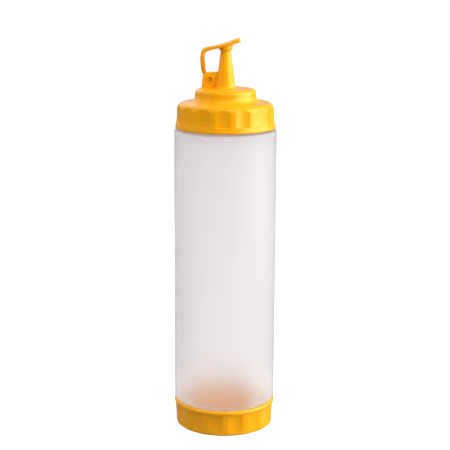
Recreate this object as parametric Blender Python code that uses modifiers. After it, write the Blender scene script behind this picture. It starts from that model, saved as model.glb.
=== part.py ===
"""An empty squeeze bottle for sauce.

A frosted tube, open at both ends, stands in a fluted screw cap and wears another one. The top
cap rises over a low dome to a cone nozzle with a fin beside it. A tip cap shuts the nozzle: it
has a tab to lift it by, and a tether that loops over to the fin, where a peg holds its end.

Metres, +Z up. The origin is on the standing face, below the axis of the tube. The front is -Y,
the fin and the tether are on the -X side, and the tab points to +X.
"""

import math

import bmesh
import bpy
from mathutils import Matrix, Vector

MM = 0.001

# Fit and fineness
GAP = 0.3 * MM
TUBE_STEPS = 60
FLUTES = 15
STEPS_PER_FLUTE = 5
CAP_STEPS = FLUTES * STEPS_PER_FLUTE
ROUND_STEPS = 28
SMOOTH_ANGLE = math.radians(35)

# Tube: a straight wall between two flat shoulders, each with a neck that a cap covers
TUBE_RADIUS = 34.0 * MM
TUBE_WALL = 1.2 * MM
TUBE_STRAIGHT = 182.2 * MM
SHOULDER_ROUND = 1.8 * MM
NECK_RADIUS = 29.4 * MM
NECK_WALL = 1.4 * MM
NECK_LENGTH = 15.3 * MM

# Flutes: scoops between narrow lands, the same on both caps
PITCH_ANGLE = 2 * math.pi / FLUTES
LAND_ANGLE = math.radians(6.8)
FLUTE_ANGLE = PITCH_ANGLE - LAND_ANGLE
FLUTE_DEPTH = 0.9 * MM
FLUTE_LEDGE = 0.25 * MM
CAP_BORE = NECK_RADIUS + GAP
OUTER_WALL_RADIUS = CAP_BORE + 0.5 * MM

# Base cap: a cup with a floor, turned rim up
BASE_HEIGHT = 17.5 * MM
BASE_FLOOR = 2.0 * MM
BASE_LAND_RADIUS = 33.0 * MM
BASE_WALL_TOP_RADIUS = 33.65 * MM
BASE_FOOT_ROUND = 1.5 * MM
BASE_FLUTE_TOP = 14.2 * MM
BASE_RIM_RADIUS = 34.2 * MM
BASE_RIM_ROUND = 1.5 * MM
BASE_RIM_UNDERCUT = -40
BASE_RECESS_RADIUS = 26.5 * MM
BASE_RECESS_DEPTH = 0.5 * MM
BASE_FLUTE_FADE = 7.0 * MM
BASE_FLUTE_FOOT_SHARE = 0.3
BASE_TURN = math.radians(1.4)

# Top cap: the skirt
TOP_LAND_RADIUS = 32.03 * MM
TOP_RIM_RADIUS = 33.3 * MM
TOP_RIM_ROUND = 1.0 * MM
TOP_SHOULDER = 4.2 * MM
TOP_PLATE = 1.7 * MM
TOP_RIM_BAND = 3.7 * MM
TOP_TURN = math.radians(8.8)

# Heights that follow from the sizes above
LOWER_SHOULDER_Z = BASE_HEIGHT + GAP
NECK_FOOT_Z = LOWER_SHOULDER_Z - NECK_LENGTH
LOWER_BEND_Z = LOWER_SHOULDER_Z + SHOULDER_ROUND
UPPER_BEND_Z = LOWER_BEND_Z + TUBE_STRAIGHT
UPPER_SHOULDER_Z = UPPER_BEND_Z + SHOULDER_ROUND
NECK_TOP_Z = UPPER_SHOULDER_Z + NECK_LENGTH
RIM_Z = UPPER_SHOULDER_Z + GAP
CEILING_Z = NECK_TOP_Z + GAP
RING_Z = CEILING_Z + TOP_PLATE
TOP_SHOULDER_Z = RING_Z - TOP_SHOULDER
TOP_FLUTE_FOOT_Z = RIM_Z + TOP_RIM_BAND

# Top cap: the dome and the nozzle
DOME_HEIGHT = 8.9 * MM
DOME_RADIUS = 20.1 * MM
DOME_WALL = 1.7 * MM
DOME_ROUND = 2.8 * MM
DOME_FOOT_ROUND = 5.0 * MM
DOME_Z = RING_Z + DOME_HEIGHT
NOZZLE_HEIGHT = 27.1 * MM
NOZZLE_FOOT_RADIUS = 6.65 * MM
NOZZLE_TIP_RADIUS = 2.96 * MM
NOZZLE_FOOT_ROUND = 2.2 * MM
NOZZLE_WALL = 1.2 * MM
NOZZLE_Z = DOME_Z + NOZZLE_HEIGHT

# Top cap: the fin, a plate that stands on the dome and joins the nozzle
FIN_THICKNESS = 3.0 * MM
FIN_HEIGHT = 11.2 * MM
FIN_FOOT_X = -15.9 * MM
FIN_HEAD_X = -14.95 * MM
FIN_HEAD_DROP = 0.5 * MM
FIN_CORNER = 1.6 * MM
FIN_ROOT = 0.7 * MM
EYE_X = -10.45 * MM
EYE_Z = DOME_Z + 6.2 * MM
EYE_HOLE_RADIUS = 1.55 * MM
EYE_RIM_RADIUS = 2.8 * MM
EYE_RIM_HEIGHT = 0.3 * MM

# Tip cap: a sleeve over the nozzle, under a plate that runs on into the tab and the tether
SLEEVE_BORE = 3.5 * MM
SLEEVE_FOOT_RADIUS = 4.2 * MM
SLEEVE_HEAD_RADIUS = 4.45 * MM
SLEEVE_TAPER = 1.2 * MM
SLEEVE_FOOT_Z = NOZZLE_Z - 1.9 * MM
SLEEVE_CEILING_Z = NOZZLE_Z + GAP
PLATE_SLOPE = 0.30
PLATE_Z = NOZZLE_Z + 1.6 * MM
EYE_PLATE_RADIUS = 3.3 * MM
EYE_PLATE_THICKNESS = 2.3 * MM
PEG_RADIUS = EYE_HOLE_RADIUS - GAP
PEG_RECESS = 0.8 * MM

# The tab, plate and tether as one band, from the tab's tip to the eye behind the fin. Each row
# is a place on its middle line (x, z above the nozzle's tip, y), then its width and its
# thickness, in millimetres
BAND = (
    (9.35, 4.8, 0.0, 7.0, 2.7),
    (8.7, 4.6, 0.0, 8.6, 2.8),
    (5.3, 3.5, 0.0, 9.6, 2.7),
    (1.0, 2.0, 0.0, 10.2, 2.4),
    (-2.3, 1.1, 0.0, 10.2, 2.2),
    (-5.5, 0.3, 0.0, 8.8, 2.1),
    (-10.9, -0.95, 0.0, 6.2, 2.4),
    (-14.2, -2.5, 0.0, 5.6, 2.8),
    (-15.2, -6.1, 0.2, 5.2, 2.7),
    (-14.9, -11.7, 1.5, 4.0, 2.9),
    (-14.4, -16.0, 3.0, 2.4, 2.5),
    (-12.6, -18.8, 3.0, 2.2, 2.4),
)
BAND_PIECES = 3
BAND_CORNER = 0.75 * MM
BAND_CORNER_SHARE = 0.45
BAND_CORNER_STEPS = 2

FROSTED = ("frosted_plastic", (0.86, 0.83, 0.84, 0.5), 0.45)
YELLOW = ("yellow_plastic", (0.95, 0.52, 0.02, 1.0), 0.32)


def clear_scene():
    for obj in list(bpy.data.objects):
        bpy.data.objects.remove(obj, do_unlink=True)


def collection(name):
    group = bpy.data.collections.new(name)
    bpy.context.scene.collection.children.link(group)
    return group


def material(name, color, roughness):
    mat = bpy.data.materials.new(name)
    mat.use_nodes = True
    shader = mat.node_tree.nodes["Principled BSDF"]
    shader.inputs["Base Color"].default_value = color[:3] + (1.0,)
    shader.inputs["Alpha"].default_value = color[3]
    shader.inputs["Roughness"].default_value = roughness
    mat.diffuse_color = color
    return mat


def add(name, mesh, group):
    obj = bpy.data.objects.new(name, mesh)
    group.objects.link(obj)
    return obj


def arc(center_r, center_z, radius, start, end, pieces):
    """Points of an arc in a (radius, height) profile; 0 degrees points outward, 90 up."""
    points = []
    for index in range(pieces + 1):
        angle = math.radians(start + (end - start) * index / pieces)
        points.append((center_r + radius * math.cos(angle), center_z + radius * math.sin(angle)))
    return points


def turned(name, profile, steps, group, ring=True):
    """A profile turned about Z. A ring's profile is a loop; any other starts and ends on Z."""
    count = len(profile)
    edges = [(index, index + 1) for index in range(count - 1)]
    if ring:
        edges.append((count - 1, 0))
    mesh = bpy.data.meshes.new(name)
    mesh.from_pydata([(radius, 0.0, height) for radius, height in profile], edges, [])
    obj = add(name, mesh, group)
    screw = obj.modifiers.new("turn", "SCREW")
    screw.axis = "Z"
    screw.angle = 2 * math.pi
    screw.steps = steps
    screw.render_steps = steps
    screw.use_merge_vertices = True
    screw.merge_threshold = 0.00001
    return obj


def made_real(obj):
    """Gives the object the mesh that its modifiers or its curve make, welded and closed."""
    evaluated = obj.evaluated_get(bpy.context.evaluated_depsgraph_get())
    mesh = bpy.data.meshes.new_from_object(evaluated)
    shape = bmesh.new()
    shape.from_mesh(mesh)
    bmesh.ops.remove_doubles(shape, verts=shape.verts, dist=0.00001)
    shape.to_mesh(mesh)
    shape.free()
    name = obj.name
    group = obj.users_collection[0]
    place = obj.matrix_world.copy()
    bpy.data.objects.remove(obj, do_unlink=True)
    solid = add(name, mesh, group)
    solid.matrix_world = place
    return solid


def rod_along_y(name, radius, center_x, center_z, low_y, high_y, group):
    """A round rod that lies along Y."""
    shape = bmesh.new()
    place = Matrix.Translation((center_x, (low_y + high_y) / 2, center_z))
    lay_down = Matrix.Rotation(math.pi / 2, 4, "X")
    bmesh.ops.create_cone(shape, cap_ends=True, segments=ROUND_STEPS, radius1=radius,
                          radius2=radius, depth=high_y - low_y, matrix=place @ lay_down)
    mesh = bpy.data.meshes.new(name)
    shape.to_mesh(mesh)
    shape.free()
    return add(name, mesh, group)


def combine(obj, tool, operation):
    """Boolean with a tool from the cutters, which stays there as a guide."""
    tool.hide_render = True
    tool.display_type = "WIRE"
    boolean = obj.modifiers.new(tool.name, "BOOLEAN")
    boolean.operation = operation
    boolean.solver = "EXACT"
    boolean.object = tool


def finish(obj, mat):
    obj.data.materials.clear()
    obj.data.materials.append(mat)
    obj.data.shade_smooth()
    obj.data.set_sharp_from_angle(angle=SMOOTH_ANGLE)


def shoulder_profile(center_z, turn, radius):
    """The quarter round at the outer edge of one of the tube's shoulders."""
    return arc(TUBE_RADIUS - SHOULDER_ROUND, center_z, radius, turn, 0, 4)


def tube_profile():
    inner_round = SHOULDER_ROUND - TUBE_WALL
    neck_bore = NECK_RADIUS - NECK_WALL
    outside = [(NECK_RADIUS, NECK_TOP_Z), (NECK_RADIUS, UPPER_SHOULDER_Z)]
    outside += shoulder_profile(UPPER_BEND_Z, 90, SHOULDER_ROUND)
    outside += reversed(shoulder_profile(LOWER_BEND_Z, -90, SHOULDER_ROUND))
    outside += [(NECK_RADIUS, LOWER_SHOULDER_Z), (NECK_RADIUS, NECK_FOOT_Z)]
    inside = [(neck_bore, NECK_FOOT_Z), (neck_bore, LOWER_BEND_Z - inner_round)]
    inside += shoulder_profile(LOWER_BEND_Z, -90, inner_round)
    inside += reversed(shoulder_profile(UPPER_BEND_Z, 90, inner_round))
    inside += [(neck_bore, UPPER_BEND_Z + inner_round), (neck_bore, NECK_TOP_Z)]
    return outside + inside


def base_radius(height):
    """The lands of the base cap flare upwards, above a foot with a round edge."""
    flare = BASE_WALL_TOP_RADIUS - BASE_LAND_RADIUS
    radius = BASE_LAND_RADIUS + flare * (height / BASE_FLUTE_TOP) ** 2
    drop = BASE_FOOT_ROUND - min(height, BASE_FOOT_ROUND)
    return radius - BASE_FOOT_ROUND + math.sqrt(BASE_FOOT_ROUND ** 2 - drop ** 2)


def base_profile():
    rim_z = BASE_HEIGHT - BASE_RIM_ROUND
    flute_head = BASE_FLUTE_TOP - FLUTE_LEDGE
    heights = [BASE_FLUTE_TOP]
    wall_height = flute_head - BASE_FOOT_ROUND
    heights += [flute_head - wall_height * index / 4 for index in range(4)]
    recess_edge = BASE_RECESS_RADIUS + BASE_RECESS_DEPTH
    profile = [(0.0, BASE_FLOOR), (CAP_BORE, BASE_FLOOR), (CAP_BORE, BASE_HEIGHT)]
    profile += arc(BASE_RIM_RADIUS - BASE_RIM_ROUND, rim_z, BASE_RIM_ROUND, 90,
                   BASE_RIM_UNDERCUT, 6)
    profile += [(base_radius(height), height) for height in heights]
    profile += arc(BASE_LAND_RADIUS - BASE_FOOT_ROUND, BASE_FOOT_ROUND, BASE_FOOT_ROUND, 0, -90, 3)
    profile += [(recess_edge, 0.0), (BASE_RECESS_RADIUS, BASE_RECESS_DEPTH)]
    profile.append((0.0, BASE_RECESS_DEPTH))
    return profile


def top_radius(height):
    """The lands of the top cap flare towards the rim, from where its shoulder starts."""
    end = RIM_Z + TOP_RIM_ROUND
    flare = TOP_RIM_RADIUS - TOP_LAND_RADIUS
    part = max(0.0, (TOP_SHOULDER_Z - height) / (TOP_SHOULDER_Z - end))
    return TOP_LAND_RADIUS + flare * part ** 3


def top_profile():
    bore_slope = (NOZZLE_FOOT_RADIUS - NOZZLE_TIP_RADIUS) / NOZZLE_HEIGHT
    nozzle_foot = NOZZLE_FOOT_RADIUS - bore_slope * NOZZLE_FOOT_ROUND
    nozzle_mid = (NOZZLE_FOOT_RADIUS + NOZZLE_TIP_RADIUS) / 2
    dome_edge = DOME_RADIUS - DOME_ROUND
    dome_foot = DOME_RADIUS + DOME_FOOT_ROUND
    flute_foot = TOP_FLUTE_FOOT_Z + FLUTE_LEDGE
    heights = [flute_foot + (TOP_SHOULDER_Z - flute_foot) * index / 3 for index in (2, 1, 0)]
    heights += [TOP_FLUTE_FOOT_Z, (TOP_FLUTE_FOOT_Z + RIM_Z + TOP_RIM_ROUND) / 2]
    outside = [(NOZZLE_TIP_RADIUS, NOZZLE_Z), (nozzle_mid, DOME_Z + NOZZLE_HEIGHT / 2)]
    outside += arc(nozzle_foot + NOZZLE_FOOT_ROUND, DOME_Z + NOZZLE_FOOT_ROUND,
                   NOZZLE_FOOT_ROUND, 180, 270, 3)
    outside += arc(dome_edge, DOME_Z - DOME_ROUND, DOME_ROUND, 90, 0, 4)
    outside += arc(dome_foot, RING_Z + DOME_FOOT_ROUND, DOME_FOOT_ROUND, 180, 270, 4)
    outside += arc(TOP_LAND_RADIUS - TOP_SHOULDER, TOP_SHOULDER_Z, TOP_SHOULDER, 90, 0, 6)
    outside += [(top_radius(height), height) for height in heights]
    outside += arc(TOP_RIM_RADIUS - TOP_RIM_ROUND, RIM_Z + TOP_RIM_ROUND, TOP_RIM_ROUND, 0, -90, 3)
    dome_bore = DOME_RADIUS - DOME_WALL
    dome_ceiling = DOME_Z - DOME_WALL
    inside = [(CAP_BORE, RIM_Z), (CAP_BORE, CEILING_Z), (dome_bore, CEILING_Z)]
    inside += arc(dome_bore - DOME_ROUND / 2, dome_ceiling - DOME_ROUND / 2, DOME_ROUND / 2,
                  0, 90, 2)
    inside += [(NOZZLE_FOOT_RADIUS - NOZZLE_WALL, dome_ceiling)]
    inside += [(NOZZLE_TIP_RADIUS - NOZZLE_WALL, NOZZLE_Z)]
    return outside + inside


def base_scoop(height):
    """The scoops of the base cap grow shallow towards its foot."""
    part = min(1.0, max(0.0, height / BASE_FLUTE_FADE))
    eased = part * part * (3 - 2 * part)
    return FLUTE_DEPTH * (BASE_FLUTE_FOOT_SHARE + (1 - BASE_FLUTE_FOOT_SHARE) * eased)


def top_scoop(height):
    return FLUTE_DEPTH


def flute_cap(cap, wall_radius, scoop_depth, low_z, high_z, turn):
    """Turns the even steps of a cap into lands and scoops, and sinks the scoops' points.

    Each flute takes five steps: one over the land and four across the scoop, whose depth
    follows a parabola. Only points of the outer wall between the two heights are sunk, and
    none that already lies deeper than the scoop, so the scoops run out in the round shoulder.
    """
    even_step = 2 * math.pi / CAP_STEPS
    scoop_step = FLUTE_ANGLE / (STEPS_PER_FLUTE - 1)
    front = -math.pi / 2
    for vertex in cap.data.vertices:
        x, y, z = vertex.co
        radius = math.hypot(x, y)
        flute, step = divmod(round(math.atan2(y, x) / even_step), STEPS_PER_FLUTE)
        across = max(0, step - 1) * scoop_step
        angle = front + turn + flute * PITCH_ANGLE - LAND_ANGLE / 2
        if step > 0:
            angle += LAND_ANGLE + across
        from_middle = 2 * across / FLUTE_ANGLE - 1
        if radius > OUTER_WALL_RADIUS and low_z < z < high_z:
            scoop = wall_radius(z) - scoop_depth(z) * (1 - from_middle ** 2)
            radius = min(radius, scoop)
        vertex.co = (radius * math.cos(angle), radius * math.sin(angle), z)


def make_body(parts):
    body = turned("bottle_body", tube_profile(), TUBE_STEPS, parts)
    body = made_real(body)
    finish(body, material(*FROSTED))


def make_base_cap(parts):
    cap = turned("base_cap", base_profile(), CAP_STEPS, parts, ring=False)
    cap = made_real(cap)
    flute_cap(cap, base_radius, base_scoop, -GAP, BASE_FLUTE_TOP - FLUTE_LEDGE / 2, BASE_TURN)
    finish(cap, material(*YELLOW))


def fin_outline():
    """The fin from the side: root in the nozzle's wall, slanted free edge, one round corner."""
    foot_z = DOME_Z - FIN_ROOT
    head_z = DOME_Z + FIN_HEIGHT
    free_z = head_z - FIN_HEAD_DROP
    slope = (NOZZLE_FOOT_RADIUS - NOZZLE_TIP_RADIUS) / NOZZLE_HEIGHT
    root_head_x = -(NOZZLE_FOOT_RADIUS - slope * FIN_HEIGHT - FIN_ROOT)
    root_foot_x = -(NOZZLE_FOOT_RADIUS - FIN_ROOT)
    corner = arc(FIN_HEAD_X + FIN_CORNER, free_z - FIN_CORNER, FIN_CORNER, 175, 95, 4)
    return [(FIN_FOOT_X, foot_z)] + corner + [(root_head_x, head_z), (root_foot_x, foot_z)]


def flat_plate(name, outline, thickness, group):
    """A plate in the XZ plane, centred on Y, from a flat outline."""
    curve = bpy.data.curves.new(name, "CURVE")
    curve.dimensions = "2D"
    curve.fill_mode = "BOTH"
    curve.extrude = thickness / 2
    spline = curve.splines.new("POLY")
    spline.points.add(len(outline) - 1)
    for point, (x, z) in zip(spline.points, outline):
        point.co = (x, z, 0.0, 1.0)
    spline.use_cyclic_u = True
    plate = add(name, curve, group)
    plate.rotation_euler = (math.pi / 2, 0.0, 0.0)
    bpy.context.view_layer.update()
    return made_real(plate)


def make_top_cap(parts, cutters):
    cap = turned("top_cap", top_profile(), CAP_STEPS, parts)
    cap = made_real(cap)
    flute_cap(cap, top_radius, top_scoop, TOP_FLUTE_FOOT_Z + FLUTE_LEDGE / 2, RING_Z, TOP_TURN)
    fin = flat_plate("fin", fin_outline(), FIN_THICKNESS, cutters)
    fin_face = -FIN_THICKNESS / 2
    eye_rim = rod_along_y("eye_rim", EYE_RIM_RADIUS, EYE_X, EYE_Z, fin_face - EYE_RIM_HEIGHT,
                          0.0, cutters)
    eye_hole = rod_along_y("eye_hole", EYE_HOLE_RADIUS, EYE_X, EYE_Z, -FIN_THICKNESS,
                           FIN_THICKNESS, cutters)
    combine(cap, fin, "UNION")
    combine(cap, eye_rim, "UNION")
    combine(cap, eye_hole, "DIFFERENCE")
    finish(cap, material(*YELLOW))


def smooth_rows(rows, pieces):
    """Rows between the given ones, on a curve that passes through each of them."""
    points = [Vector(row) for row in rows]
    ends = [2 * points[0] - points[1]] + points + [2 * points[-1] - points[-2]]
    smooth = []
    for before, start, end, after in zip(ends, ends[1:], ends[2:], ends[3:]):
        for index in range(pieces):
            t = index / pieces
            pull = (end - before) * t + (2 * before - 5 * start + 4 * end - after) * t ** 2
            pull += (3 * start - before - 3 * end + after) * t ** 3
            smooth.append(start + pull / 2)
    smooth.append(points[-1])
    return smooth


def band_section(width, thickness):
    """A rectangle with round corners, as (across, up) points in turning order."""
    corner = min(BAND_CORNER, BAND_CORNER_SHARE * thickness)
    points = []
    for side, (across, up) in enumerate(((1, 1), (-1, 1), (-1, -1), (1, -1))):
        center = (across * (width / 2 - corner), up * (thickness / 2 - corner))
        points += arc(*center, corner, 90 * side, 90 * side + 90, BAND_CORNER_STEPS)
    return points


def band_mesh(name):
    """The tab, plate and tether: sections of changing size along one smooth line."""
    line = smooth_rows([[value * MM for value in row] for row in BAND], BAND_PIECES)
    places = [Vector((row[0], row[2], NOZZLE_Z + row[1])) for row in line]
    shape = bmesh.new()
    rings = []
    for index, place in enumerate(places):
        ahead = places[min(index + 1, len(places) - 1)] - places[max(index - 1, 0)]
        ahead.normalize()
        up = ahead.cross(Vector((0.0, 1.0, 0.0))).normalized()
        across = up.cross(ahead)
        section = band_section(line[index][3], line[index][4])
        rings.append([shape.verts.new(place + across * a + up * b) for a, b in section])
    for ring, following in zip(rings, rings[1:]):
        count = len(ring)
        for index in range(count):
            beside = (index + 1) % count
            shape.faces.new((ring[index], ring[beside], following[beside], following[index]))
    shape.faces.new(rings[0])
    shape.faces.new(rings[-1])
    bmesh.ops.recalc_face_normals(shape, faces=shape.faces)
    mesh = bpy.data.meshes.new(name)
    shape.to_mesh(mesh)
    shape.free()
    return mesh


def make_sleeve(group):
    """The sleeve before it is bored. Its head is slanted, so that it ends inside the plate."""
    taper_z = SLEEVE_FOOT_Z + SLEEVE_TAPER
    profile = [(0.0, PLATE_Z), (SLEEVE_HEAD_RADIUS, PLATE_Z), (SLEEVE_HEAD_RADIUS, taper_z),
               (SLEEVE_FOOT_RADIUS, SLEEVE_FOOT_Z), (0.0, SLEEVE_FOOT_Z)]
    sleeve = made_real(turned("sleeve", profile, ROUND_STEPS, group, ring=False))
    for vertex in sleeve.data.vertices:
        if vertex.co.z > PLATE_Z - GAP:
            vertex.co.z += PLATE_SLOPE * vertex.co.x
    return sleeve


def make_sleeve_bore(group):
    open_z = SLEEVE_FOOT_Z - SLEEVE_TAPER
    profile = [(0.0, SLEEVE_CEILING_Z), (SLEEVE_BORE, SLEEVE_CEILING_Z), (SLEEVE_BORE, open_z),
               (0.0, open_z)]
    return made_real(turned("sleeve_bore", profile, ROUND_STEPS, group, ring=False))


def make_tip_cap(parts, cutters):
    cap = add("tip_cap", band_mesh("tip_cap"), parts)
    back = FIN_THICKNESS / 2 + GAP
    eye_plate = rod_along_y("eye_plate", EYE_PLATE_RADIUS, EYE_X, EYE_Z, back,
                            back + EYE_PLATE_THICKNESS, cutters)
    peg = rod_along_y("peg", PEG_RADIUS, EYE_X, EYE_Z, PEG_RECESS - FIN_THICKNESS / 2,
                      back + EYE_PLATE_THICKNESS / 2, cutters)
    combine(cap, make_sleeve(cutters), "UNION")
    combine(cap, make_sleeve_bore(cutters), "DIFFERENCE")
    combine(cap, eye_plate, "UNION")
    combine(cap, peg, "UNION")
    finish(cap, material(*YELLOW))


def main():
    clear_scene()
    parts = collection("sauce_bottle")
    cutters = collection("cutters")
    make_body(parts)
    make_base_cap(parts)
    make_top_cap(parts, cutters)
    make_tip_cap(parts, cutters)


main()
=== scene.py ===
"""The looks of an empty squeeze bottle for sauce.

A frosted tube stands in a fluted yellow screw cap and wears another one, which rises over a low
dome to a cone nozzle with a fin beside it. A tip cap shuts the nozzle: its tab lifts it, and its
tether loops over to the fin. Every piece is modelled at its real size, in metres, +Z up.
"""

import math

import bmesh
import bpy
from mathutils import Matrix, Vector


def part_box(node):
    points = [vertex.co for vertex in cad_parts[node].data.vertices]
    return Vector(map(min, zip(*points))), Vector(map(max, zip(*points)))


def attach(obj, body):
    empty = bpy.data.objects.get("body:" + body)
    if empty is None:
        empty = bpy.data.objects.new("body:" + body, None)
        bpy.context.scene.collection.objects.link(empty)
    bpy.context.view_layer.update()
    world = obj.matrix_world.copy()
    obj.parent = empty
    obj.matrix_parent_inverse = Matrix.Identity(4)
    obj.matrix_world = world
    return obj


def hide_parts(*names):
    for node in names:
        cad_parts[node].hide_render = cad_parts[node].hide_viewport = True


MM = 0.001
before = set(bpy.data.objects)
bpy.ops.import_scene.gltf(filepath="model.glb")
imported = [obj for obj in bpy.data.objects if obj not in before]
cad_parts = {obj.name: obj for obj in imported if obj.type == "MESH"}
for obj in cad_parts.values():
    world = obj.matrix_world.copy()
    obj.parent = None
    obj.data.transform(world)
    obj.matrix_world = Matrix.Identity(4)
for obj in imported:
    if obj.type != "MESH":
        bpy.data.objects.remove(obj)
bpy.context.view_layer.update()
TUBE_LOW, TUBE_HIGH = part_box("bottle_body")
_, BASE_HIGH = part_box("base_cap")
CAP_LOW, CAP_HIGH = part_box("top_cap")

# Tube, from its solid's box: a straight wall between two flat shoulders, each with a neck
TUBE_RADIUS = TUBE_HIGH.x
TUBE_WALL = 1.2 * MM
NECK_RADIUS = 29.4 * MM
NECK_WALL = 1.4 * MM
GAP = 0.3 * MM
SHOULDER_ROUND = 1.8 * MM
SHOULDER_STEPS = 8
INNER_SHOULDER_STEPS = 4
TUBE_STEPS = 180

# Flutes, the same on both caps: scoops between narrow lands
FLUTES = 15
PITCH_ANGLE = 2 * math.pi / FLUTES
LAND_ANGLE = math.radians(6.8)
FLUTE_ANGLE = PITCH_ANGLE - LAND_ANGLE
FLUTE_DEPTH = 0.9 * MM
FLUTE_LEDGE = 0.25 * MM
LAND_STEPS = 2
SCOOP_STEPS = 16
SCOOP_EDGE = 0.99
CAP_BORE = NECK_RADIUS + GAP
BORE_LIP_ROUND = 0.3 * MM
OUTER_WALL_RADIUS = CAP_BORE + 0.5 * MM

# Base cap: a cup with a rounded lip
BASE_HEIGHT = BASE_HIGH.z
BASE_FLOOR = 2.0 * MM
BASE_LAND_RADIUS = 33.0 * MM
BASE_WALL_TOP_RADIUS = 33.65 * MM
BASE_FLUTE_TOP = 14.2 * MM
BASE_FOOT_ROUND = 1.5 * MM
BASE_RIM_RADIUS = 34.2 * MM
BASE_RIM_ROUND = 1.5 * MM
BASE_RIM_UNDERCUT = -40
BASE_RECESS_RADIUS = 26.5 * MM
BASE_RECESS_DEPTH = 0.5 * MM
BASE_BORE_ROUND = 0.6 * MM
BASE_WALL_ROWS = 9
BASE_FLUTE_FADE = 7.0 * MM
BASE_FLUTE_FOOT_SHARE = 0.3
BASE_TURN = math.radians(1.4)

# Top cap, from the rim up to the nozzle's tip
RIM_Z = CAP_LOW.z
NOZZLE_Z = CAP_HIGH.z
CEILING_Z = TUBE_HIGH.z + GAP
TOP_PLATE = 1.7 * MM
RING_Z = CEILING_Z + TOP_PLATE
TOP_LAND_RADIUS = 32.03 * MM
TOP_RIM_RADIUS = 33.3 * MM
TOP_RIM_ROUND = 1.0 * MM
TOP_RIM_BAND = 3.7 * MM
TOP_BORE_ROUND = 0.5 * MM
TOP_SHOULDER = 4.2 * MM
TOP_SHOULDER_Z = RING_Z - TOP_SHOULDER
TOP_FLUTE_FOOT_Z = RIM_Z + TOP_RIM_BAND
TOP_WALL_ROWS = 6
TOP_RIM_ROWS = 4
TOP_TURN = math.radians(8.8)
DOME_HEIGHT = 8.9 * MM
DOME_RADIUS = 20.1 * MM
DOME_WALL = 1.7 * MM
DOME_ROUND = 2.8 * MM
DOME_FOOT_ROUND = 5.0 * MM
DOME_Z = RING_Z + DOME_HEIGHT
NOZZLE_FOOT_RADIUS = 6.65 * MM
NOZZLE_TIP_RADIUS = 2.96 * MM
NOZZLE_FOOT_ROUND = 2.2 * MM
NOZZLE_WALL = 1.2 * MM
NOZZLE_LIP_ROUND = 0.35 * MM
NOZZLE_SLOPE = (NOZZLE_FOOT_RADIUS - NOZZLE_TIP_RADIUS) / (NOZZLE_Z - DOME_Z)

# Fin beside the nozzle, with the eye that holds the tether
FIN_THICKNESS = 3.0 * MM
FIN_HEIGHT = 11.2 * MM
FIN_FOOT_X = -15.9 * MM
FIN_HEAD_X = -14.95 * MM
FIN_HEAD_DROP = 0.5 * MM
FIN_CORNER = 2.6 * MM
FIN_ROOT = 1.1 * MM
FIN_EDGE_ROUND = 0.35 * MM
FIN_FILLET = 0.7 * MM
FIN_SUNK = 0.7 * MM
FILLET_STEPS = 5
EYE_X = -10.45 * MM
EYE_Z = DOME_Z + 6.2 * MM
EYE_HOLE_RADIUS = 1.55 * MM
EYE_RIM_RADIUS = 2.8 * MM
EYE_RIM_HEIGHT = 0.3 * MM
EYE_RIM_ROUND = 0.2 * MM
ROD_SIDES = 64

# Tip cap: a sleeve over the nozzle under a band, which is the tab, the plate and the tether
SLEEVE_BORE = 3.5 * MM
SLEEVE_FOOT_RADIUS = 4.2 * MM
SLEEVE_HEAD_RADIUS = 4.45 * MM
SLEEVE_TAPER = 1.2 * MM
SLEEVE_FOOT_Z = NOZZLE_Z - 1.9 * MM
SLEEVE_CEILING_Z = NOZZLE_Z + GAP
SLEEVE_SIDES = 64
PLATE_SLOPE = math.atan(0.30)
PLATE_Z = NOZZLE_Z + 1.6 * MM
EYE_PLATE_RADIUS = 3.3 * MM
EYE_PLATE_THICKNESS = 2.3 * MM
PEG_RADIUS = EYE_HOLE_RADIUS - GAP
PEG_RECESS = 0.8 * MM

# The band's line from the tab's tip to the eye behind the fin. Each row is a place on it
# (x, z above the nozzle's tip, y), then the band's width and thickness there, in millimetres
BAND = (
    (9.35, 4.8, 0.0, 7.0, 2.7),
    (8.7, 4.6, 0.0, 8.6, 2.8),
    (5.3, 3.5, 0.0, 9.6, 2.7),
    (1.0, 2.0, 0.0, 10.2, 2.4),
    (-2.3, 1.1, 0.0, 10.2, 2.2),
    (-5.5, 0.3, 0.0, 8.8, 2.1),
    (-10.9, -0.95, 0.0, 6.2, 2.4),
    (-14.2, -2.5, 0.0, 5.6, 2.8),
    (-15.2, -6.1, 0.2, 5.2, 2.7),
    (-14.9, -11.7, 1.5, 4.0, 2.9),
    (-14.4, -16.0, 3.0, 2.4, 2.5),
    (-12.6, -18.8, 3.0, 2.2, 2.4),
)
BAND_PIECES = 6
BAND_CORNER_SHARE = 0.25

# Points nearer than these are the same place, or are merged
SAME_PLACE = 0.01 * MM
MERGE_DISTANCE = 0.005 * MM
SMOOTH_ANGLE = math.radians(38)

# Camera, lights and surroundings
CAMERA_PLACE = (0.0, -0.8456, 0.3210)
CAMERA_TILT = math.radians(77.79)
CAMERA_ROLL = math.radians(0.27)
CAMERA_LENS_MM = 102.89
FLOOR_SIZE = 6.0
AIM_Z = 0.15
LIGHT_DISTANCE = 1.4
WHITE_SEEN = 0.95
FLOOR_BOUNCE = 0.3
FLOOR_ROUGHNESS = 0.9
LIGHT_BOUNCES = 32
DIFFUSE_BOUNCES = 12

# The grey room from its front, at 0, to its back, at 1, as (place, brightness)
ROOM = ((0.0, 0.17), (0.5, 0.17), (0.8, 0.22), (0.97, 0.45))

# A noise pattern seldom leaves this range
PATTERN_RANGE = (0.3, 0.7)

# The yellow plastic varies between two shades and two degrees of gloss
YELLOW_DEEP = (0.93, 0.38, 0.001, 1.0)
YELLOW_PALE = (0.96, 0.41, 0.002, 1.0)
YELLOW_ROUGHNESS = (0.22, 0.28)
YELLOW_GLOSS_TINT = (1.0, 0.9, 0.45, 1.0)
YELLOW_GRAIN = 0.02 * MM

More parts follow.
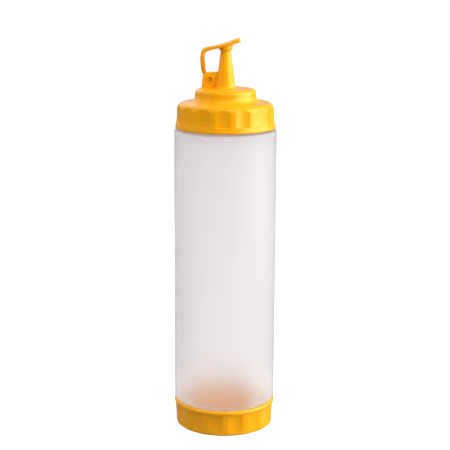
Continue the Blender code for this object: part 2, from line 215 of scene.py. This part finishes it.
# The frosted plastic is clouded in the same way
FROST_DEEP = (0.868, 0.848, 0.86, 1.0)
FROST_PALE = (0.888, 0.873, 0.885, 1.0)
FROST_ROUGHNESS = (0.52, 0.58)
FROST_GRAIN = 0.03 * MM

# Painted glow: the tube's colour is painted paler near its foot, where the base cap's yellow
# shines through
PAINTED_FOOT_GLOW = (1.0, 1.0, 1.0, 1.0)
PAINTED_GLOW_LOW = 22 * MM
PAINTED_GLOW_HIGH = 52 * MM

# It takes a little light on its way through the wall, most at the tube's edges
FROST_TINT = (0.35, 0.35, 0.4, 1.0)
FROST_DENSITY = 22.0

# Places of the colour sockets on a Mix node, whose other sockets have the same names
MIX_FIRST = 6
MIX_SECOND = 7
MIX_RESULT = 2


def select_where(piece, wanted):
    """In edit mode, selects the vertices whose place passes the test, and what they close."""
    shape = bmesh.from_edit_mesh(piece.data)
    for vertex in shape.verts:
        vertex.select = wanted(vertex.co)
    shape.select_mode = {"VERT"}
    shape.select_flush_mode()
    bmesh.update_edit_mesh(piece.data)


def started(name):
    """The primitive just added, named and opened for editing with all of it selected."""
    piece = bpy.context.object
    piece.name = name
    piece.data.name = name
    bpy.ops.object.mode_set(mode="EDIT")
    bpy.ops.mesh.select_all(action="SELECT")
    return piece


def drawn_outline(name, corners):
    """A closed outline in the XZ plane, pulled out point by point, with its corners rounded.

    A corner is (x, z), or (x, z, radius of its rounding, segments).
    """
    bpy.ops.object.select_all(action="DESELECT")
    bpy.ops.mesh.primitive_plane_add(size=MM)
    outline = started(name)
    bpy.ops.mesh.merge(type="CENTER")
    places = [Vector((corner[0], 0.0, corner[1])) for corner in corners]
    bpy.ops.transform.translate(value=places[0])
    for start, end in zip(places, places[1:]):
        bpy.ops.mesh.extrude_region_move(TRANSFORM_OT_translate={"value": end - start})
    ends = (places[0], places[-1])
    select_where(outline, lambda co: min((co - end).length for end in ends) < SAME_PLACE)
    bpy.ops.mesh.edge_face_add()
    for index, corner in enumerate(corners):
        if len(corner) == 2:
            continue
        place = places[index]
        before = places[index - 1] - place
        after = places[(index + 1) % len(places)] - place
        setback = corner[2] / math.tan(before.angle(after) / 2)
        select_where(outline, lambda co: (co - place).length < SAME_PLACE)
        bpy.ops.mesh.bevel(offset=setback, segments=corner[3], affect="VERTICES")
    bpy.ops.mesh.select_all(action="SELECT")
    return outline


def spin(angle, steps):
    """Turns what is selected round the tube's axis."""
    bpy.ops.mesh.spin(steps=steps, angle=angle, center=(0.0, 0.0, 0.0), axis=(0.0, 0.0, 1.0))


def closed_up():
    """Merges doubled points, turns the faces outwards and leaves edit mode."""
    bpy.ops.mesh.select_all(action="SELECT")
    bpy.ops.mesh.remove_doubles(threshold=MERGE_DISTANCE)
    bpy.ops.mesh.normals_make_consistent(inside=False)
    bpy.ops.object.mode_set(mode="OBJECT")


def turned(name, corners, steps):
    """A round piece, turned from its outline."""
    piece = drawn_outline(name, corners)
    spin(2 * math.pi, steps)
    closed_up()
    return piece


def smooth(piece):
    bpy.ops.object.select_all(action="DESELECT")
    piece.select_set(True)
    bpy.context.view_layer.objects.active = piece
    bpy.ops.object.shade_smooth_by_angle(angle=SMOOTH_ANGLE)


def apply_all(piece):
    """Applies the piece's modifiers, in their order."""
    bpy.ops.object.select_all(action="DESELECT")
    piece.select_set(True)
    bpy.context.view_layer.objects.active = piece
    for modifier in list(piece.modifiers):
        bpy.ops.object.modifier_apply(modifier=modifier.name)


def combined(piece, tool, operation):
    """Joins the tool to the piece or cuts it out, and takes the tool away."""
    boolean = piece.modifiers.new(tool.name, "BOOLEAN")
    boolean.operation = operation
    boolean.solver = "EXACT"
    boolean.object = tool
    apply_all(piece)
    bpy.data.objects.remove(tool, do_unlink=True)


def rod_along_y(name, radius, center_x, center_z, low_y, high_y, edge_round=0.0):
    bpy.ops.object.select_all(action="DESELECT")
    middle = (center_x, (low_y + high_y) / 2, center_z)
    bpy.ops.mesh.primitive_cylinder_add(vertices=ROD_SIDES, radius=radius, depth=high_y - low_y,
                                        location=middle, rotation=(math.pi / 2, 0.0, 0.0))
    rod = bpy.context.object
    rod.name = name
    bpy.ops.object.transform_apply(location=True, rotation=True, scale=True)
    if edge_round:
        bpy.ops.object.mode_set(mode="EDIT")
        select_where(rod, lambda co: abs(co.y - low_y) < SAME_PLACE)
        bpy.ops.mesh.bevel(offset=edge_round, segments=3, affect="EDGES")
        bpy.ops.object.mode_set(mode="OBJECT")
    return rod


def make_tube():
    upper = RIM_Z - GAP
    lower = BASE_HEIGHT + GAP
    inner_round = SHOULDER_ROUND - TUBE_WALL
    neck_bore = NECK_RADIUS - NECK_WALL
    tube_bore = TUBE_RADIUS - TUBE_WALL
    return turned("bottle_body_skin", [
        (NECK_RADIUS, TUBE_HIGH.z),
        (NECK_RADIUS, upper),
        (TUBE_RADIUS, upper, SHOULDER_ROUND, SHOULDER_STEPS),
        (TUBE_RADIUS, lower, SHOULDER_ROUND, SHOULDER_STEPS),
        (NECK_RADIUS, lower),
        (NECK_RADIUS, TUBE_LOW.z),
        (neck_bore, TUBE_LOW.z),
        (neck_bore, lower + TUBE_WALL),
        (tube_bore, lower + TUBE_WALL, inner_round, INNER_SHOULDER_STEPS),
        (tube_bore, upper - TUBE_WALL, inner_round, INNER_SHOULDER_STEPS),
        (neck_bore, upper - TUBE_WALL),
        (neck_bore, TUBE_HIGH.z),
    ], TUBE_STEPS)


def base_scoop(height):
    """The scoops of the base cap grow shallow towards its foot."""
    part = min(1.0, max(0.0, height / BASE_FLUTE_FADE))
    eased = part * part * (3 - 2 * part)
    return FLUTE_DEPTH * (BASE_FLUTE_FOOT_SHARE + (1 - BASE_FLUTE_FOOT_SHARE) * eased)


def top_scoop(_height):
    """The scoops of the top cap are as deep all the way down."""
    return FLUTE_DEPTH


def fluted(outline, wall_radius, scoop_depth, low_z, high_z, turn):
    """Turns an outline into a cap whose wall has scoops between its lands.

    One flute is turned and its scoop pressed in, column by column. It is then copied round.
    """
    spin(LAND_ANGLE / 2, LAND_STEPS)
    spin(FLUTE_ANGLE, SCOOP_STEPS)
    spin(LAND_ANGLE / 2, LAND_STEPS)
    shape = bmesh.from_edit_mesh(outline.data)
    scoop = {}
    for vertex in shape.verts:
        radius = math.hypot(vertex.co.x, vertex.co.y)
        turned_by = abs(math.atan2(vertex.co.y, vertex.co.x))
        from_middle = abs(turned_by - PITCH_ANGLE / 2) / (FLUTE_ANGLE / 2)
        in_scoop = from_middle < SCOOP_EDGE and low_z < vertex.co.z < high_z
        if in_scoop and radius > OUTER_WALL_RADIUS:
            depth = scoop_depth(vertex.co.z) * (1 - from_middle ** 2)
            pressed = wall_radius(vertex.co.z) - depth
            if pressed < radius:
                key = (round(vertex.co.z / MM, 3), round(from_middle, 3))
                scoop.setdefault(key, (pressed / radius, []))[1].append(vertex.index)
    for share, members in scoop.values():
        chosen = set(members)
        shape = bmesh.from_edit_mesh(outline.data)
        for vertex in shape.verts:
            vertex.select = vertex.index in chosen
        shape.select_flush_mode()
        bmesh.update_edit_mesh(outline.data)
        bpy.ops.transform.resize(value=(share, share, 1.0), center_override=(0.0, 0.0, 0.0))
    bpy.ops.mesh.select_all(action="SELECT")
    bpy.ops.mesh.spin(steps=FLUTES - 1, angle=2 * math.pi - PITCH_ANGLE, dupli=True,
                      center=(0.0, 0.0, 0.0), axis=(0.0, 0.0, 1.0))
    closed_up()
    outline.rotation_euler.z = turn - math.pi / 2
    bpy.ops.object.transform_apply(location=True, rotation=True, scale=True)
    return outline


def base_radius(height):
    """The base cap's wall flares upward from its rounded foot."""
    flare = BASE_WALL_TOP_RADIUS - BASE_LAND_RADIUS
    radius = BASE_LAND_RADIUS + flare * (height / BASE_FLUTE_TOP) ** 2
    drop = BASE_FOOT_ROUND - min(height, BASE_FOOT_ROUND)
    return radius - BASE_FOOT_ROUND + math.sqrt(BASE_FOOT_ROUND ** 2 - drop ** 2)


def arc(center_x, center_z, radius, start, end, pieces):
    """Corners along an arc; 0 degrees points outward and 90 up."""
    angles = [math.radians(start + (end - start) * index / pieces) for index in range(pieces + 1)]
    return [(center_x + radius * math.cos(a), center_z + radius * math.sin(a)) for a in angles]


def make_base_cap():
    rim_z = BASE_HEIGHT - BASE_RIM_ROUND
    flute_head = BASE_FLUTE_TOP - FLUTE_LEDGE
    wall = [BASE_FLUTE_TOP]
    wall += [flute_head * (1 - part / BASE_WALL_ROWS) + BASE_FOOT_ROUND * part / BASE_WALL_ROWS
             for part in range(BASE_WALL_ROWS)]
    corners = [(0.0, BASE_FLOOR), (CAP_BORE, BASE_FLOOR, BASE_BORE_ROUND, 3)]
    corners += [(CAP_BORE, BASE_HEIGHT, BORE_LIP_ROUND, 2)]
    corners += arc(BASE_RIM_RADIUS - BASE_RIM_ROUND, rim_z, BASE_RIM_ROUND, 90,
                   BASE_RIM_UNDERCUT, 14)
    corners += [(base_radius(height), height) for height in wall]
    corners += arc(BASE_LAND_RADIUS - BASE_FOOT_ROUND, BASE_FOOT_ROUND, BASE_FOOT_ROUND, 0, -90, 6)
    corners += [(BASE_RECESS_RADIUS + BASE_RECESS_DEPTH, 0.0),
                (BASE_RECESS_RADIUS, BASE_RECESS_DEPTH), (0.0, BASE_RECESS_DEPTH)]
    outline = drawn_outline("base_cap_skin", corners)
    return fluted(outline, base_radius, base_scoop, -GAP, BASE_FLUTE_TOP - FLUTE_LEDGE / 2,
                  BASE_TURN)


def top_radius(height):
    """The top cap's wall flares downward to its rim."""
    end = RIM_Z + TOP_RIM_ROUND
    flare = TOP_RIM_RADIUS - TOP_LAND_RADIUS
    part = max(0.0, (TOP_SHOULDER_Z - height) / (TOP_SHOULDER_Z - end))
    return TOP_LAND_RADIUS + flare * part ** 3


def make_top_cap():
    flute_foot = TOP_FLUTE_FOOT_Z + FLUTE_LEDGE
    wall = [flute_foot + (TOP_SHOULDER_Z - flute_foot) * part / TOP_WALL_ROWS
            for part in range(TOP_WALL_ROWS - 1, -1, -1)]
    wall += [TOP_FLUTE_FOOT_Z]
    wall += [TOP_FLUTE_FOOT_Z + (RIM_Z + TOP_RIM_ROUND - TOP_FLUTE_FOOT_Z) * part / TOP_RIM_ROWS
             for part in range(1, TOP_RIM_ROWS)]
    dome_bore = DOME_RADIUS - DOME_WALL
    dome_ceiling = DOME_Z - DOME_WALL
    corners = [
        (NOZZLE_TIP_RADIUS, NOZZLE_Z, NOZZLE_LIP_ROUND, 3),
        (NOZZLE_FOOT_RADIUS, DOME_Z, NOZZLE_FOOT_ROUND, 8),
        (DOME_RADIUS, DOME_Z, DOME_ROUND, 10),
        (DOME_RADIUS, RING_Z, DOME_FOOT_ROUND, 12),
    ]
    corners += arc(TOP_LAND_RADIUS - TOP_SHOULDER, TOP_SHOULDER_Z, TOP_SHOULDER, 90, 0, 12)
    corners += [(top_radius(height), height) for height in wall]
    corners += arc(TOP_RIM_RADIUS - TOP_RIM_ROUND, RIM_Z + TOP_RIM_ROUND, TOP_RIM_ROUND, 0, -90, 5)
    corners += [
        (CAP_BORE, RIM_Z, BORE_LIP_ROUND, 2),
        (CAP_BORE, CEILING_Z, TOP_BORE_ROUND, 3),
        (dome_bore, CEILING_Z),
        (dome_bore, dome_ceiling, DOME_ROUND / 2, 5),
        (NOZZLE_FOOT_RADIUS - NOZZLE_WALL, dome_ceiling),
        (NOZZLE_TIP_RADIUS - NOZZLE_WALL, NOZZLE_Z),
    ]
    outline = drawn_outline("top_cap_skin", corners)
    cap = fluted(outline, top_radius, top_scoop, TOP_FLUTE_FOOT_Z + FLUTE_LEDGE / 2, RING_Z,
                 TOP_TURN)
    combined(cap, make_fin(), "UNION")
    return cap


def fillet_to_nozzle():
    """(distance out from the nozzle's side, half width of the fin) along the fillet between."""
    side = (NOZZLE_FOOT_RADIUS + NOZZLE_TIP_RADIUS) / 2 + NOZZLE_SLOPE * FIN_HEIGHT / 2
    half = FIN_THICKNESS / 2
    center_y = half + FIN_FILLET
    center_x = math.sqrt((side + FIN_FILLET) ** 2 - center_y ** 2)
    meets = math.atan2(center_y, center_x)
    places = []
    for part in range(FILLET_STEPS + 1):
        angle = math.pi / 2 + (math.pi / 2 - meets) * part / FILLET_STEPS
        x = center_x + FIN_FILLET * math.cos(angle)
        y = center_y - FIN_FILLET * math.sin(angle)
        places.append((x - side, y))
    return places


def make_fin():
    """The fin, flared where it meets the nozzle and the dome, with the rim and hole of its eye."""
    half = FIN_THICKNESS / 2
    foot_z = DOME_Z - FIN_SUNK
    head_z = DOME_Z + FIN_HEIGHT
    free_z = head_z - FIN_HEAD_DROP
    root_head_x = -(NOZZLE_FOOT_RADIUS - NOZZLE_SLOPE * FIN_HEIGHT - FIN_ROOT)
    root_foot_x = -(NOZZLE_FOOT_RADIUS - FIN_ROOT)
    fin = drawn_outline("fin", [
        (FIN_FOOT_X, foot_z),
        (FIN_HEAD_X, free_z, FIN_CORNER, 8),
        (root_head_x, head_z),
        (root_foot_x, foot_z),
    ])
    bpy.ops.mesh.edge_face_add()
    bpy.ops.transform.translate(value=(0.0, -half, 0.0))
    bpy.ops.mesh.extrude_region_move(TRANSFORM_OT_translate={"value": (0.0, 2 * half, 0.0)})
    bpy.ops.mesh.select_all(action="SELECT")
    bpy.ops.mesh.normals_make_consistent(inside=False)
    for side in (-half, half):
        select_where(fin, lambda co: abs(co.y - side) < SAME_PLACE)
        bpy.ops.mesh.bevel(offset=FIN_EDGE_ROUND, segments=3, affect="EDGES")
    slope_out = Vector((-1.0, 0.0, -NOZZLE_SLOPE))
    at_nozzle = fillet_to_nozzle()
    for distance, _ in at_nozzle:
        bpy.ops.mesh.select_all(action="SELECT")
        start = (-(NOZZLE_FOOT_RADIUS + distance), 0.0, DOME_Z)
        bpy.ops.mesh.bisect(plane_co=start, plane_no=slope_out)
    at_dome = [(FIN_FILLET * (1 - math.sin(a)), half + FIN_FILLET * (1 - math.cos(a)))
               for a in (math.pi / 2 * part / FILLET_STEPS for part in range(FILLET_STEPS + 1))]
    for height, _ in at_dome:
        bpy.ops.mesh.select_all(action="SELECT")
        bpy.ops.mesh.bisect(plane_co=(0.0, 0.0, DOME_Z + height), plane_no=(0.0, 0.0, 1.0))
    shape = bmesh.from_edit_mesh(fin.data)
    flares = {}
    for vertex in shape.verts:
        height = vertex.co.z - DOME_Z
        from_side = -vertex.co.x - (NOZZLE_FOOT_RADIUS - NOZZLE_SLOPE * height)
        wide = max(width_at(at_nozzle, from_side, half), width_at(at_dome, height, half))
        if wide > half:
            flares.setdefault(round(wide / half, 4), []).append(vertex.index)
    for share, members in flares.items():
        chosen = set(members)
        shape = bmesh.from_edit_mesh(fin.data)
        for vertex in shape.verts:
            vertex.select = vertex.index in chosen
        shape.select_flush_mode()
        bmesh.update_edit_mesh(fin.data)
        bpy.ops.transform.resize(value=(1.0, share, 1.0), center_override=(0.0, 0.0, 0.0))
    bpy.ops.object.mode_set(mode="OBJECT")
    rim = rod_along_y("eye_rim", EYE_RIM_RADIUS, EYE_X, EYE_Z, -half - EYE_RIM_HEIGHT, 0.0,
                      EYE_RIM_ROUND)
    hole = rod_along_y("eye_hole", EYE_HOLE_RADIUS, EYE_X, EYE_Z, -2 * half, 2 * half)
    combined(fin, rim, "UNION")
    combined(fin, hole, "DIFFERENCE")
    return fin


def width_at(places, distance, half):
    """The half width that a fillet's places give at a distance, read between two of them."""
    ordered = sorted(places)
    if distance >= ordered[-1][0]:
        return half
    if distance <= ordered[0][0]:
        return ordered[0][1]
    for (near, wide), (far, narrow) in zip(ordered, ordered[1:]):
        if near <= distance <= far:
            return wide + (narrow - wide) * (distance - near) / (far - near)
    return half


def smooth_rows(rows, pieces):
    """Rows between the given ones, on a curve that passes through each of them."""
    points = [Vector(row) for row in rows]
    ends = [2 * points[0] - points[1]] + points + [2 * points[-1] - points[-2]]
    line = []
    for before, start, end, after in zip(ends, ends[1:], ends[2:], ends[3:]):
        for index in range(pieces):
            t = index / pieces
            pull = (end - before) * t + (2 * before - 5 * start + 4 * end - after) * t ** 2
            pull += (3 * start - before - 3 * end + after) * t ** 3
            line.append(start + pull / 2)
    line.append(points[-1])
    return line


def make_band():
    """The tab, plate and tether: a straight strip, pulled out section by section, then bent."""
    line = smooth_rows([[value * MM for value in row] for row in BAND], BAND_PIECES)
    places = [Vector((row[0], row[2], NOZZLE_Z + row[1])) for row in line]
    bpy.ops.curve.primitive_nurbs_path_add()
    path = bpy.context.object
    path.name = "band_line"
    path.data.splines.clear()
    spline = path.data.splines.new("POLY")
    spline.points.add(len(places) - 1)
    for point, place in zip(spline.points, places):
        point.co = (*place, 1.0)
    path.data.twist_mode = "MINIMUM"
    bpy.ops.object.select_all(action="DESELECT")
    bpy.ops.mesh.primitive_plane_add(size=1.0, rotation=(0.0, math.pi / 2, 0.0))
    bpy.ops.object.transform_apply(location=True, rotation=True, scale=True)
    band = started("tip_cap_skin")
    width, thickness = line[0][3], line[0][4]
    bpy.ops.transform.resize(value=(1.0, width, thickness))
    bpy.ops.mesh.bevel(offset=BAND_CORNER_SHARE * thickness, segments=2, affect="VERTICES")
    bpy.ops.mesh.select_all(action="SELECT")
    for index in range(1, len(places)):
        step = (places[index] - places[index - 1]).length
        bpy.ops.mesh.extrude_region_move(TRANSFORM_OT_translate={"value": (step, 0.0, 0.0)})
        grow = (1.0, line[index][3] / line[index - 1][3], line[index][4] / line[index - 1][4])
        bpy.ops.transform.resize(value=grow)
    closed_up()
    bend = band.modifiers.new("bend", "CURVE")
    bend.object = path
    apply_all(band)
    bpy.data.objects.remove(path, do_unlink=True)
    return band


def make_tip_cap():
    band = make_band()
    taper_z = SLEEVE_FOOT_Z + SLEEVE_TAPER
    sleeve = turned("sleeve", [(0.0, PLATE_Z), (SLEEVE_HEAD_RADIUS, PLATE_Z),
                               (SLEEVE_HEAD_RADIUS, taper_z), (SLEEVE_FOOT_RADIUS, SLEEVE_FOOT_Z),
                               (0.0, SLEEVE_FOOT_Z)], SLEEVE_SIDES)
    bore = turned("sleeve_bore", [(0.0, SLEEVE_CEILING_Z), (SLEEVE_BORE, SLEEVE_CEILING_Z),
                                  (SLEEVE_BORE, SLEEVE_FOOT_Z - SLEEVE_TAPER),
                                  (0.0, SLEEVE_FOOT_Z - SLEEVE_TAPER)], SLEEVE_SIDES)
    back = FIN_THICKNESS / 2 + GAP
    eye_plate = rod_along_y("eye_plate", EYE_PLATE_RADIUS, EYE_X, EYE_Z, back,
                            back + EYE_PLATE_THICKNESS)
    peg = rod_along_y("peg", PEG_RADIUS, EYE_X, EYE_Z, PEG_RECESS - FIN_THICKNESS / 2,
                      back + EYE_PLATE_THICKNESS / 2)
    bpy.context.view_layer.objects.active = sleeve
    bpy.ops.object.mode_set(mode="EDIT")
    select_where(sleeve, lambda co: co.z > PLATE_Z - GAP)
    shape = bmesh.from_edit_mesh(sleeve.data)
    for vertex in shape.verts:
        if vertex.select:
            vertex.co.z += math.tan(PLATE_SLOPE) * vertex.co.x
    bmesh.update_edit_mesh(sleeve.data)
    bpy.ops.object.mode_set(mode="OBJECT")
    combined(band, sleeve, "UNION")
    combined(band, bore, "DIFFERENCE")
    combined(band, eye_plate, "UNION")
    combined(band, peg, "UNION")
    return band


def shader_of(mat):
    return mat.node_tree.nodes["Principled BSDF"]


def noise(mat, scale, detail, stretch=(1.0, 1.0, 1.0)):
    """A noise pattern fixed to the piece, in its own metres."""
    nodes, links = mat.node_tree.nodes, mat.node_tree.links
    place = nodes.new("ShaderNodeTexCoord")
    mapping = nodes.new("ShaderNodeMapping")
    mapping.inputs["Scale"].default_value = stretch
    pattern = nodes.new("ShaderNodeTexNoise")
    pattern.inputs["Scale"].default_value = scale
    pattern.inputs["Detail"].default_value = detail
    links.new(place.outputs["Object"], mapping.inputs["Vector"])
    links.new(mapping.outputs["Vector"], pattern.inputs["Vector"])
    return pattern.outputs["Fac"]


def spread(mat, value, low, high):
    """Maps a pattern's middle range onto low to high."""
    node = mat.node_tree.nodes.new("ShaderNodeMapRange")
    node.inputs["From Min"].default_value = PATTERN_RANGE[0]
    node.inputs["From Max"].default_value = PATTERN_RANGE[1]
    node.inputs["To Min"].default_value = low
    node.inputs["To Max"].default_value = high
    mat.node_tree.links.new(value, node.inputs["Value"])
    return node.outputs["Result"]


def blend_colours(mat, value, first, second):
    """Goes from the first colour to the second; each is a plain colour or another pattern."""
    node = mat.node_tree.nodes.new("ShaderNodeMix")
    node.data_type = "RGBA"
    for socket, colour in ((node.inputs[MIX_FIRST], first), (node.inputs[MIX_SECOND], second)):
        if isinstance(colour, bpy.types.NodeSocket):
            mat.node_tree.links.new(colour, socket)
        else:
            socket.default_value = colour
    mat.node_tree.links.new(value, node.inputs["Factor"])
    return node.outputs[MIX_RESULT]


def above(mat, low, high):
    """0 below the low height, 1 above the high one, and eased between them."""
    nodes, links = mat.node_tree.nodes, mat.node_tree.links
    place = nodes.new("ShaderNodeTexCoord")
    split = nodes.new("ShaderNodeSeparateXYZ")
    rise = nodes.new("ShaderNodeMapRange")
    rise.interpolation_type = "SMOOTHSTEP"
    rise.inputs["From Min"].default_value = low
    rise.inputs["From Max"].default_value = high
    links.new(place.outputs["Object"], split.inputs["Vector"])
    links.new(split.outputs["Z"], rise.inputs["Value"])
    return rise.outputs["Result"]


def bump(mat, value, distance, strength):
    node = mat.node_tree.nodes.new("ShaderNodeBump")
    node.inputs["Strength"].default_value = strength
    node.inputs["Distance"].default_value = distance
    mat.node_tree.links.new(value, node.inputs["Height"])
    return node.outputs["Normal"]


def yellow_plastic():
    mat = bpy.data.materials.new("yellow_plastic")
    mat.use_nodes = True
    shader = shader_of(mat)
    links = mat.node_tree.links
    flow = spread(mat, noise(mat, scale=60.0, detail=2.0, stretch=(1.0, 1.0, 0.4)), 0.0, 1.0)
    colour = blend_colours(mat, flow, YELLOW_DEEP, YELLOW_PALE)
    grain = noise(mat, scale=2600.0, detail=2.0)
    gloss = spread(mat, noise(mat, scale=240.0, detail=3.0), *YELLOW_ROUGHNESS)
    links.new(colour, shader.inputs["Base Color"])
    links.new(gloss, shader.inputs["Roughness"])
    links.new(bump(mat, grain, distance=YELLOW_GRAIN, strength=0.35), shader.inputs["Normal"])
    shader.inputs["IOR"].default_value = 1.5
    shader.inputs["Specular IOR Level"].default_value = 0.5
    shader.inputs["Specular Tint"].default_value = YELLOW_GLOSS_TINT
    return mat


def frosted_plastic():
    mat = bpy.data.materials.new("frosted_plastic")
    mat.use_nodes = True
    shader = shader_of(mat)
    links = mat.node_tree.links
    cloud = spread(mat, noise(mat, scale=25.0, detail=2.0, stretch=(1.0, 1.0, 0.3)), 0.0, 1.0)
    colour = blend_colours(mat, cloud, FROST_DEEP, FROST_PALE)
    # painted glow: paler towards the tube's foot, standing in for light shining through from the
    # base cap
    colour = blend_colours(mat, above(mat, PAINTED_GLOW_LOW, PAINTED_GLOW_HIGH), PAINTED_FOOT_GLOW, colour)
    gloss = spread(mat, noise(mat, scale=180.0, detail=3.0), *FROST_ROUGHNESS)
    grain = noise(mat, scale=1800.0, detail=3.0)
    links.new(colour, shader.inputs["Base Color"])
    links.new(gloss, shader.inputs["Roughness"])
    links.new(bump(mat, grain, distance=FROST_GRAIN, strength=0.4), shader.inputs["Normal"])
    shader.inputs["IOR"].default_value = 1.45
    shader.inputs["Specular IOR Level"].default_value = 0.2
    shader.inputs["Transmission Weight"].default_value = 0.96
    tint = mat.node_tree.nodes.new("ShaderNodeVolumeAbsorption")
    tint.inputs["Color"].default_value = FROST_TINT
    tint.inputs["Density"].default_value = FROST_DENSITY
    links.new(tint.outputs["Volume"], mat.node_tree.nodes["Material Output"].inputs["Volume"])
    return mat


def dress(piece, mat, node):
    """Gives the piece its material, shades it smooth, hides the solid it stands for and hangs it
    under the root body.
    """
    piece.data.materials.clear()
    piece.data.materials.append(mat)
    smooth(piece)
    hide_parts(node)
    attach(piece, "root")


def make_camera():
    bpy.ops.object.camera_add()
    camera = bpy.context.object
    camera.name = "photo_camera"
    camera.matrix_world = (Matrix.Translation(CAMERA_PLACE)
                           @ Matrix.Rotation(CAMERA_TILT, 4, "X")
                           @ Matrix.Rotation(CAMERA_ROLL, 4, "Z"))
    camera.data.lens = CAMERA_LENS_MM
    camera.data.clip_start = 0.01
    bpy.context.scene.camera = camera


def make_floor():
    bpy.ops.mesh.primitive_plane_add(size=FLOOR_SIZE, location=(0.0, 0.0, 0.0))
    floor = bpy.context.object
    floor.name = "floor"
    mat = bpy.data.materials.new("floor_white")
    mat.use_nodes = True
    shader = shader_of(mat)
    shader.inputs["Base Color"].default_value = (FLOOR_BOUNCE, FLOOR_BOUNCE, FLOOR_BOUNCE, 1.0)
    shader.inputs["Roughness"].default_value = FLOOR_ROUGHNESS
    shader.inputs["Specular IOR Level"].default_value = 0.0
    shader.inputs["Emission Color"].default_value = (1.0, 1.0, 1.0, 1.0)
    nodes, links = mat.node_tree.nodes, mat.node_tree.links
    glow = nodes.new("ShaderNodeMath")
    glow.operation = "MULTIPLY"
    glow.inputs[1].default_value = WHITE_SEEN
    links.new(white_seen(nodes, links), glow.inputs[0])
    links.new(glow.outputs["Value"], shader.inputs["Emission Strength"])
    floor.data.materials.append(mat)


def softbox(name, azimuth, elevation, width, height, power, glossy=True):
    """A soft light aimed at the bottle. Azimuth 0 is the camera's side, and 90 the right.

    One that isn't glossy lights the bottle but leaves no highlight on it.
    """
    turn, rise = math.radians(azimuth), math.radians(elevation)
    way = Vector((math.sin(turn) * math.cos(rise), -math.cos(turn) * math.cos(rise),
                  math.sin(rise)))
    aim = Vector((0.0, 0.0, AIM_Z))
    bpy.ops.object.light_add(type="AREA", location=aim + LIGHT_DISTANCE * way)
    light = bpy.context.object
    light.name = name
    light.rotation_euler = (-way).to_track_quat("-Z", "Y").to_euler()
    light.data.shape = "RECTANGLE"
    light.data.size = width
    light.data.size_y = height
    light.data.energy = power
    light.visible_camera = False
    light.visible_glossy = glossy


def white_seen(nodes, links):
    """1 where the camera looks at the white round the bottle, straight or through the tube."""
    path = nodes.new("ShaderNodeLightPath")
    either = nodes.new("ShaderNodeMath")
    either.operation = "MAXIMUM"
    links.new(path.outputs["Is Camera Ray"], either.inputs[0])
    links.new(path.outputs["Is Transmission Ray"], either.inputs[1])
    return either.outputs["Value"]


def make_surroundings():
    """White where the camera looks, straight or through the tube.

    The bottle itself is lit by a grey room, which is lighter behind the bottle.
    """
    world = bpy.data.worlds.new("studio")
    bpy.context.scene.world = world
    world.use_nodes = True
    nodes, links = world.node_tree.nodes, world.node_tree.links
    background = nodes["Background"]
    place = nodes.new("ShaderNodeTexCoord")
    split = nodes.new("ShaderNodeSeparateXYZ")
    links.new(place.outputs["Generated"], split.inputs["Vector"])
    along = nodes.new("ShaderNodeMapRange")
    along.inputs["From Min"].default_value = -1.0
    links.new(split.outputs["Y"], along.inputs["Value"])
    brightest = max(level for _, level in ROOM)
    ramp = nodes.new("ShaderNodeValToRGB")
    ramp.color_ramp.interpolation = "EASE"
    stops = ramp.color_ramp.elements
    for _ in ROOM[2:]:
        stops.new(0.5)
    for stop, (position, level) in zip(stops, ROOM):
        share = level / brightest
        stop.position = position
        stop.color = (share, share, share, 1.0)
    links.new(along.outputs["Result"], ramp.inputs["Fac"])
    glow = nodes.new("ShaderNodeMath")
    glow.operation = "MULTIPLY"
    glow.inputs[1].default_value = brightest
    links.new(ramp.outputs["Color"], glow.inputs[0])
    seen = nodes.new("ShaderNodeMix")
    seen.inputs["B"].default_value = 1.0
    links.new(white_seen(nodes, links), seen.inputs["Factor"])
    links.new(glow.outputs["Value"], seen.inputs["A"])
    links.new(seen.outputs["Result"], background.inputs["Strength"])
    background.inputs["Color"].default_value = (1.0, 1.0, 1.0, 1.0)
    bpy.context.scene.view_settings.view_transform = "Standard"
    bpy.context.scene.cycles.max_bounces = LIGHT_BOUNCES
    bpy.context.scene.cycles.transmission_bounces = LIGHT_BOUNCES
    bpy.context.scene.cycles.diffuse_bounces = DIFFUSE_BOUNCES


YELLOW = yellow_plastic()
dress(make_tube(), frosted_plastic(), "bottle_body")
dress(make_base_cap(), YELLOW, "base_cap")
dress(make_top_cap(), YELLOW, "top_cap")
dress(make_tip_cap(), YELLOW, "tip_cap")
make_camera()
make_floor()
softbox("key_softbox", azimuth=76, elevation=22, width=1.9, height=1.6, power=44.0)
softbox("top_softbox", azimuth=0, elevation=62, width=1.2, height=1.0, power=7.0)
softbox("left_softbox", azimuth=-82, elevation=24, width=0.8, height=1.2, power=9.0,
        glossy=False)
softbox("rear_softbox", azimuth=-150, elevation=38, width=1.6, height=1.4, power=5.0)
make_surroundings()
